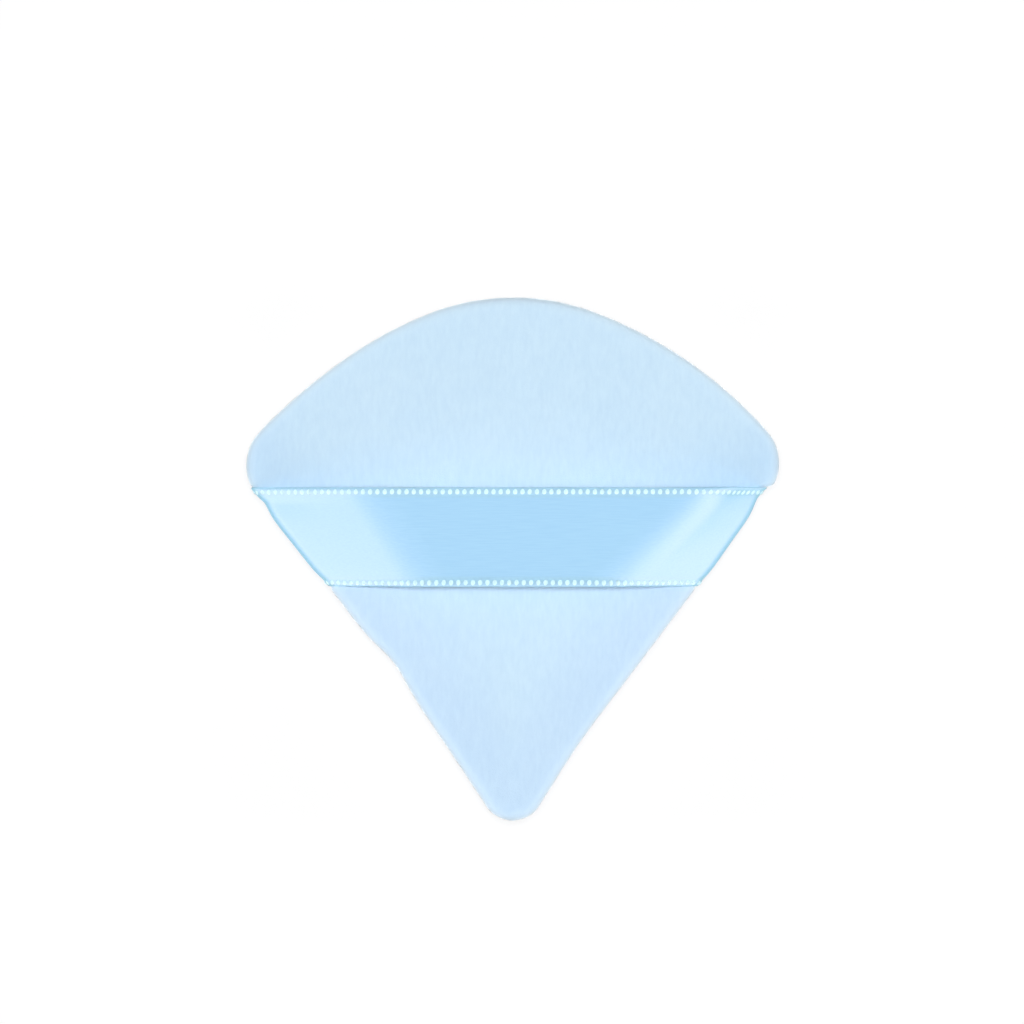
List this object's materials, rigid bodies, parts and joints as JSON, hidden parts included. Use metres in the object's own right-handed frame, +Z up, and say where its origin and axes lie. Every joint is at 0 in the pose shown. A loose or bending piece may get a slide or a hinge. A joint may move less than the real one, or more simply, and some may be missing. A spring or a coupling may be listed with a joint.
{
  "type": "powder puff",
  "caption": "Fan-shaped velour powder puff with a rounded top and a narrow tip, a sponge core, a sewn edge and a satin ribbon strap for the fingers.",
  "frame": {"origin": "on the table under the middle of the pad's box, the pad lying on its flat back", "axes": "+Z up, out of the strap side; +Y from the tip towards the rounded top; +X along the strap"},
  "size_m": [0.0816, 0.08, 0.0179],
  "materials": {
    "velour": "short dense pile, matt with a soft sheen at the edges",
    "satin_ribbon": "smooth satin weave with a soft gloss and ribbed selvedges",
    "sponge": "fine open-cell foam",
    "sewing_thread": "spun polyester"
  },
  "bodies": {
    "pad": {"front_cover": "velour", "back_cover": "velour", "sponge_core": "sponge", "seam_needle_thread": "sewing_thread", "seam_bobbin_thread": "sewing_thread", "closing_thread": "sewing_thread", "strap_left_end": "satin_ribbon", "strap_right_end": "satin_ribbon"},
    "strap": {"strap_span": "satin_ribbon"}
  },
  "joints": [
    {"name": "strap_lift", "type": "slide", "parent": "pad", "child": "strap", "axis": [0, 0, 1], "range_m": [-0.002, 0.006], "stiffness_N_per_m": 15, "deforming": ["strap_left_end", "strap_right_end"]}
  ]
}
